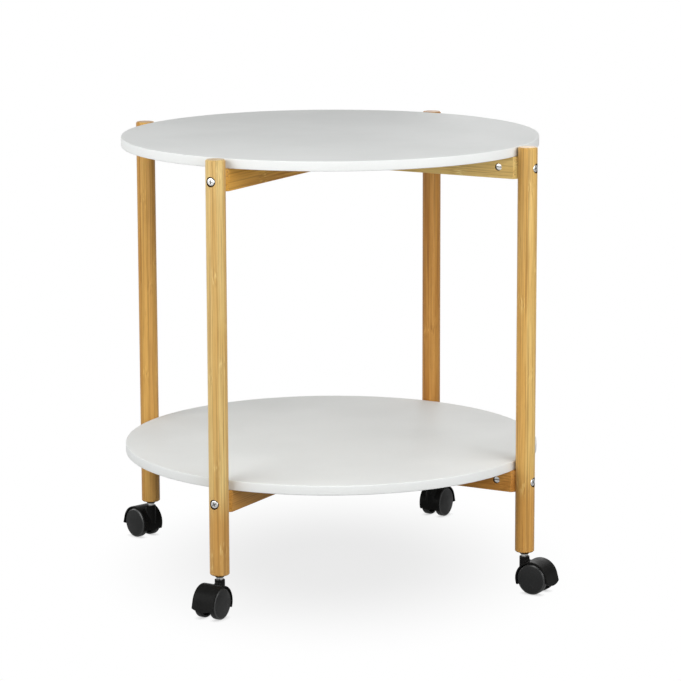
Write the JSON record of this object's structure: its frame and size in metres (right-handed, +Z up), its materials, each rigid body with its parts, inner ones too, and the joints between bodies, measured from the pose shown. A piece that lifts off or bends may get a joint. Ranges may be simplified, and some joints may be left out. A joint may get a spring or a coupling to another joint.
{
  "type": "rolling side table",
  "caption": "Round tiered side table on swivelling casters: white disc top and shelf on crossed bamboo rails bolted between round rod legs.",
  "frame": {"origin": "on the floor below the centre of the round panels", "axes": "+Z up, -Y to the front; the legs stand at 45 degrees to X and Y"},
  "size_m": [0.4799, 0.48, 0.509],
  "materials": {
    "panel_white": "satin white lacquer on board",
    "bamboo": "clear satin varnish, fine lengthwise strips",
    "zinc_steel": "bright zinc",
    "caster_black": "satin moulded nylon",
    "wheel_black": "satin moulded nylon",
    "socket_dark": "dark moulded nylon"
  },
  "bodies": {
    "frame": {"top_panel": "panel_white", "shelf_panel": "panel_white", "upper_rail_a": "bamboo", "upper_rail_b": "bamboo", "upper_leg_bolts": "zinc_steel", "upper_barrel_nuts": "zinc_steel", "upper_panel_screws": "zinc_steel", "lower_rail_a": "bamboo", "lower_rail_b": "bamboo", "lower_leg_bolts": "zinc_steel", "lower_barrel_nuts": "zinc_steel", "lower_panel_screws": "zinc_steel", "front_left_leg": "bamboo", "front_left_socket": "socket_dark", "front_left_stem": "zinc_steel", "front_right_leg": "bamboo", "front_right_socket": "socket_dark", "front_right_stem": "zinc_steel", "back_left_leg": "bamboo", "back_left_socket": "socket_dark", "back_left_stem": "zinc_steel", "back_right_leg": "bamboo", "back_right_socket": "socket_dark", "back_right_stem": "zinc_steel", "stem_clips": "zinc_steel"},
    "front_left_caster": {"front_left_housing": "caster_black", "front_left_axle": "zinc_steel"},
    "front_left_wheel_a": {"front_left_wheel_a": "wheel_black"},
    "front_left_wheel_b": {"front_left_wheel_b": "wheel_black"},
    "front_right_caster": {"front_right_housing": "caster_black", "front_right_axle": "zinc_steel"},
    "front_right_wheel_a": {"front_right_wheel_a": "wheel_black"},
    "front_right_wheel_b": {"front_right_wheel_b": "wheel_black"},
    "back_left_caster": {"back_left_housing": "caster_black", "back_left_axle": "zinc_steel"},
    "back_left_wheel_a": {"back_left_wheel_a": "wheel_black"},
    "back_left_wheel_b": {"back_left_wheel_b": "wheel_black"},
    "back_right_caster": {"back_right_housing": "caster_black", "back_right_axle": "zinc_steel"},
    "back_right_wheel_a": {"back_right_wheel_a": "wheel_black"},
    "back_right_wheel_b": {"back_right_wheel_b": "wheel_black"}
  },
  "joints": [
    {"name": "front_left_swivel", "type": "hinge", "parent": "frame", "child": "front_left_caster", "pos_m": [-0.17833, -0.17833, 0.04], "axis": [0, 0, 1], "continuous": true},
    {"name": "front_left_spin_a", "type": "hinge", "parent": "front_left_caster", "child": "front_left_wheel_a", "pos_m": [-0.18948, -0.1891, 0.0175], "axis": [0.6947, -0.7193, 0], "continuous": true},
    {"name": "front_left_spin_b", "type": "hinge", "parent": "front_left_caster", "child": "front_left_wheel_b", "pos_m": [-0.18948, -0.1891, 0.0175], "axis": [0.6947, -0.7193, 0], "continuous": true},
    {"name": "front_right_swivel", "type": "hinge", "parent": "frame", "child": "front_right_caster", "pos_m": [0.17833, -0.17833, 0.04], "axis": [0, 0, 1], "continuous": true},
    {"name": "front_right_spin_a", "type": "hinge", "parent": "front_right_caster", "child": "front_right_wheel_a", "pos_m": [0.1889, -0.18967, 0.0175], "axis": [0.7314, 0.682, 0], "continuous": true},
    {"name": "front_right_spin_b", "type": "hinge", "parent": "front_right_caster", "child": "front_right_wheel_b", "pos_m": [0.1889, -0.18967, 0.0175], "axis": [0.7314, 0.682, 0], "continuous": true},
    {"name": "back_left_swivel", "type": "hinge", "parent": "frame", "child": "back_left_caster", "pos_m": [-0.17833, 0.17833, 0.04], "axis": [0, 0, 1], "continuous": true},
    {"name": "back_left_spin_a", "type": "hinge", "parent": "back_left_caster", "child": "back_left_wheel_a", "pos_m": [-0.18537, 0.19214, 0.0175], "axis": [-0.891, -0.454, 0], "continuous": true},
    {"name": "back_left_spin_b", "type": "hinge", "parent": "back_left_caster", "child": "back_left_wheel_b", "pos_m": [-0.18537, 0.19214, 0.0175], "axis": [-0.891, -0.454, 0], "continuous": true},
    {"name": "back_right_swivel", "type": "hinge", "parent": "frame", "child": "back_right_caster", "pos_m": [0.17833, 0.17833, 0.04], "axis": [0, 0, 1], "continuous": true},
    {"name": "back_right_spin_a", "type": "hinge", "parent": "back_right_caster", "child": "back_right_wheel_a", "pos_m": [0.18985, 0.1887, 0.0175], "axis": [-0.6691, 0.7431, 0], "continuous": true},
    {"name": "back_right_spin_b", "type": "hinge", "parent": "back_right_caster", "child": "back_right_wheel_b", "pos_m": [0.18985, 0.1887, 0.0175], "axis": [-0.6691, 0.7431, 0], "continuous": true}
  ]
}
